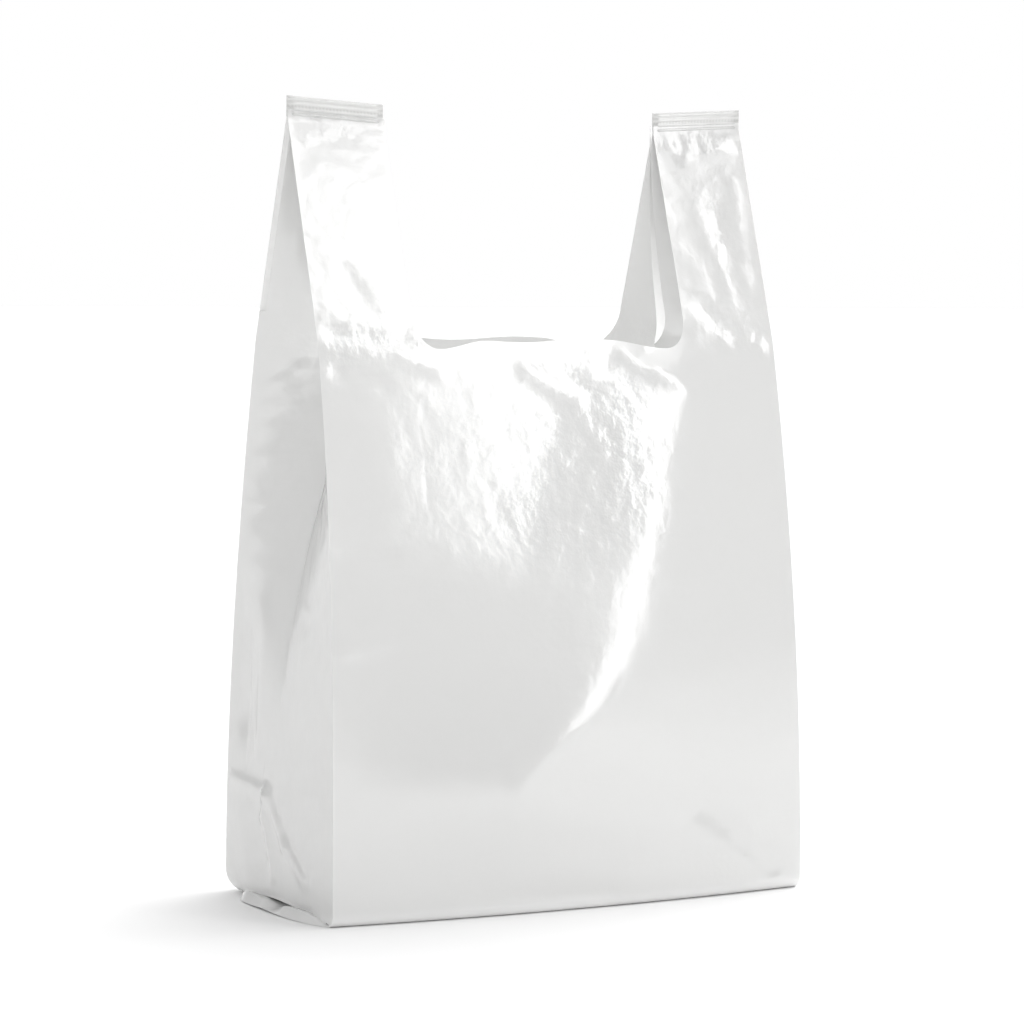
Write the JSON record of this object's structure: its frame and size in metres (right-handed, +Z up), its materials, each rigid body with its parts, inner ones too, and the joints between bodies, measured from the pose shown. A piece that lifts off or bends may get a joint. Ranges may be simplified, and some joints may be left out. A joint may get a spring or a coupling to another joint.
{
  "type": "plastic carrier bag",
  "caption": "Thin white plastic carrier bag with gusseted sides and loop handles cut from the film, standing open and empty.",
  "frame": {"origin": "middle of the base, on the floor", "axes": "+Z up, X along the wide panels, -Y towards the front panel, +X towards the right handle seen from the front"},
  "size_m": [0.32, 0.1633, 0.45],
  "materials": {
    "white_film": "gloss"
  },
  "bodies": {
    "root": {"bag": "white_film"}
  },
  "joints": []
}
